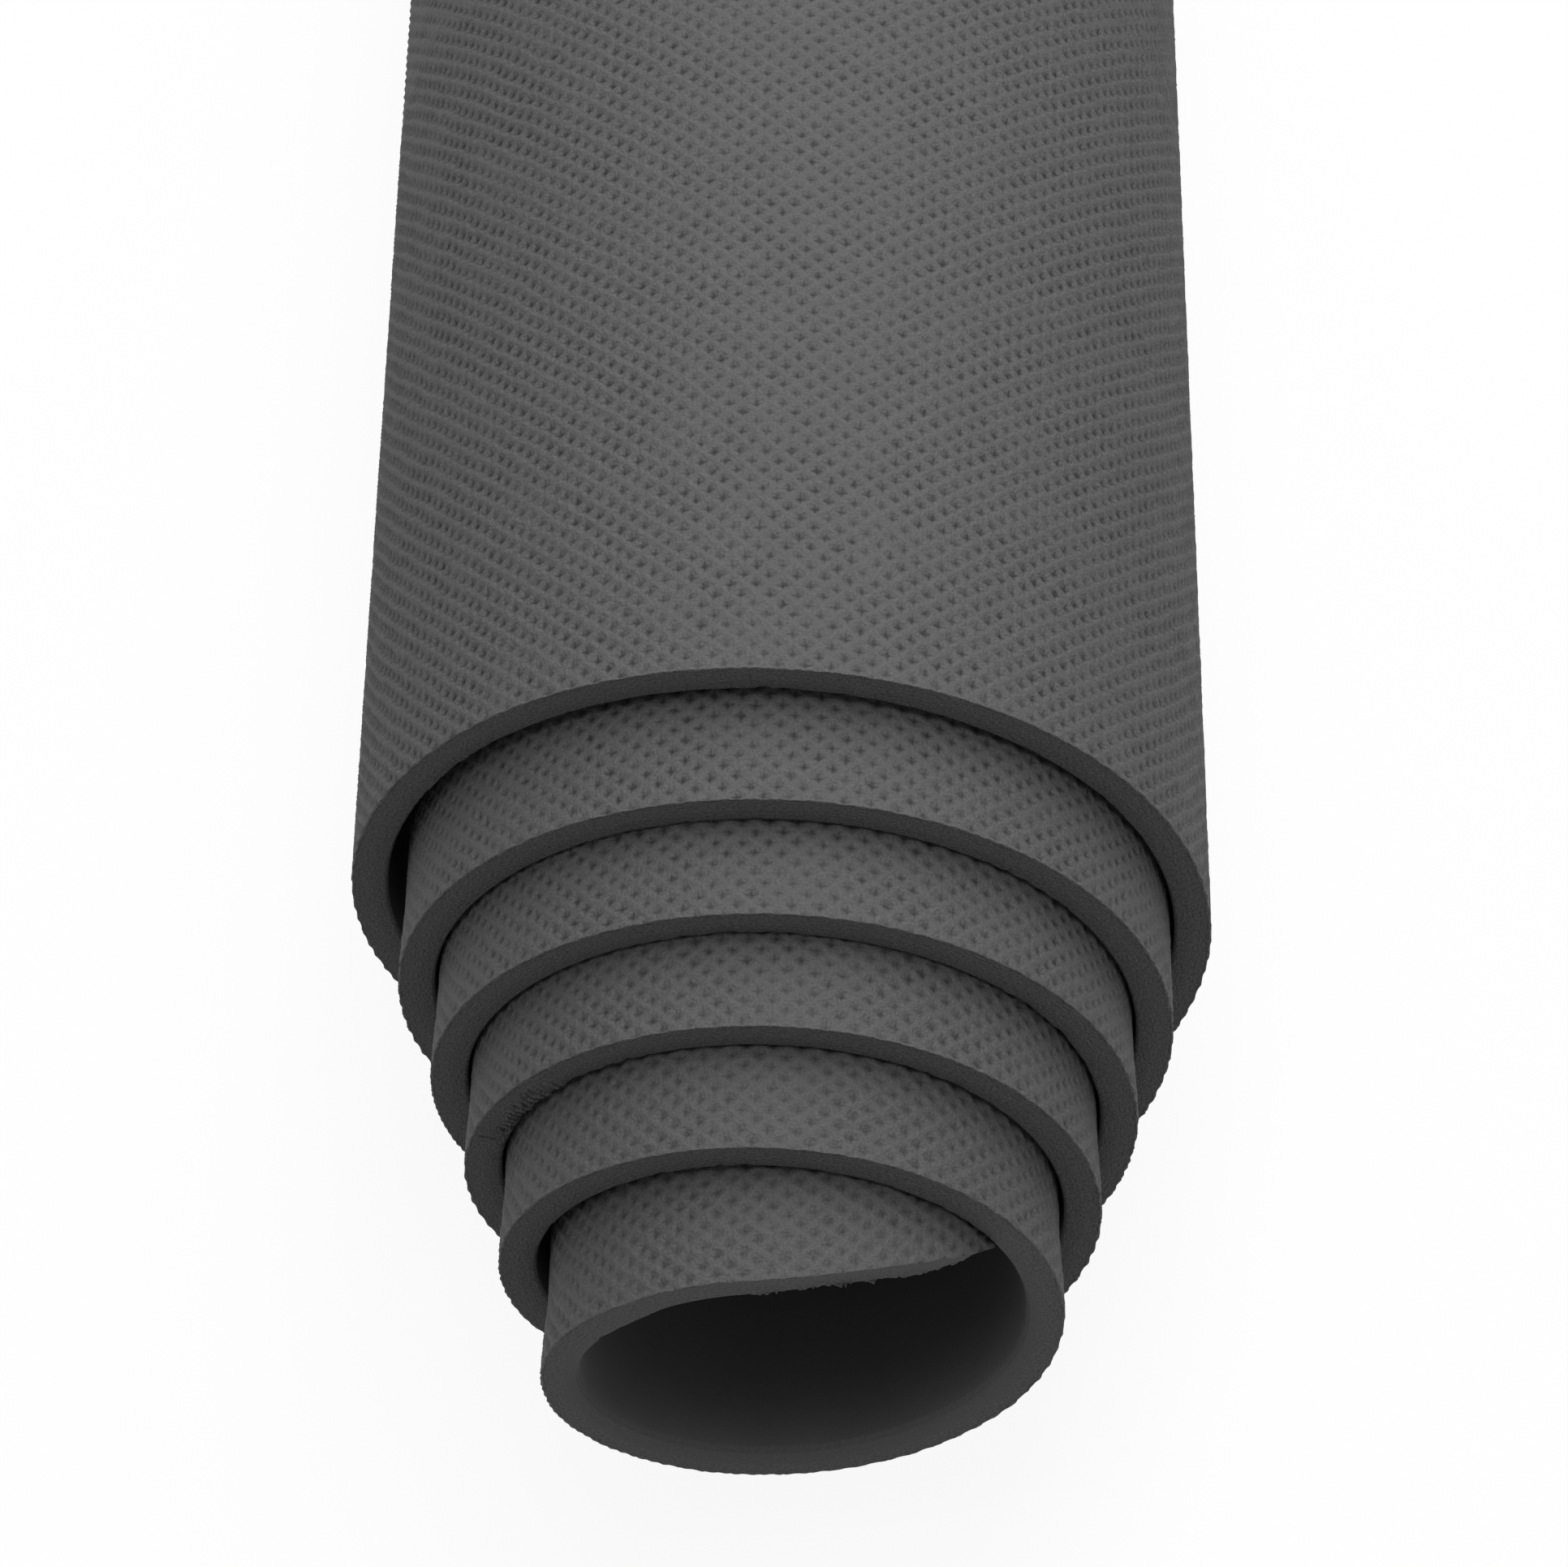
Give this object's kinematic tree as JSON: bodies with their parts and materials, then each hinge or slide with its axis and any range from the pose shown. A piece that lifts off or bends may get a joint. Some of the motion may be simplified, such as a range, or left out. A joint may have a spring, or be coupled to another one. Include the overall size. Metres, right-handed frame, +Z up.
{
  "type": "yoga mat",
  "caption": "Foam exercise mat with one embossed face, rolled up loosely and lying on its side, each inner turn standing further out of the near end.",
  "frame": {"origin": "bottom centre of the rolled mat's bounding box, on the surface that the roll lies on", "axes": "+Z up, +Y along the roll's axis towards its far end, so the stepped end with the turns standing out faces -Y, +X to the right seen from that end"},
  "size_m": [0.1438, 0.7098, 0.1384],
  "materials": {
    "embossed_skin": "matte embossed foam skin",
    "foam": "cut closed-cell foam",
    "smooth_skin": "matte smooth foam skin"
  },
  "bodies": {
    "root": {"embossed_top_skin": "embossed_skin", "foam_core": "foam", "smooth_back_skin": "smooth_skin"}
  },
  "joints": []
}
